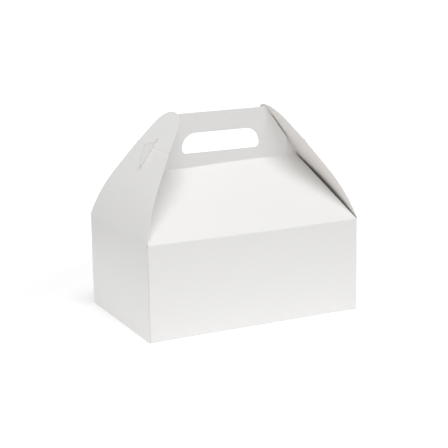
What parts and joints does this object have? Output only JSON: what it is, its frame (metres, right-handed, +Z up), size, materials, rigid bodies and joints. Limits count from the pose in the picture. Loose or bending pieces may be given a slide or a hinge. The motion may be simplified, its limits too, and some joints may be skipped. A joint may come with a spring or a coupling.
{
  "type": "gable box",
  "caption": "Closed gable carton folded from one sheet of white board: hand-hole handle, sloping roof, and end flaps hooked over the handle's tabs.",
  "frame": {"origin": "on the ground under the middle of the box", "axes": "+X along the box towards its right-hand end flap, +Y towards its back, +Z up; the front faces -Y"},
  "size_m": [0.229, 0.1556, 0.206],
  "materials": {
    "white_board": "clay-coated white paperboard, satin outside, plain inside"
  },
  "bodies": {
    "carton": {"carton_body": "white_board"},
    "left_flap": {"end_flap_left": "white_board"},
    "right_flap": {"end_flap_right": "white_board"}
  },
  "joints": [
    {"name": "left_flap_hinge", "type": "hinge", "parent": "carton", "child": "left_flap", "pos_m": [-0.11465, 0, 0.0945], "axis": [0, -1, 0], "range_deg": [0, 160]},
    {"name": "right_flap_hinge", "type": "hinge", "parent": "carton", "child": "right_flap", "pos_m": [0.11465, 0, 0.0945], "axis": [0, 1, 0], "range_deg": [0, 160]}
  ]
}
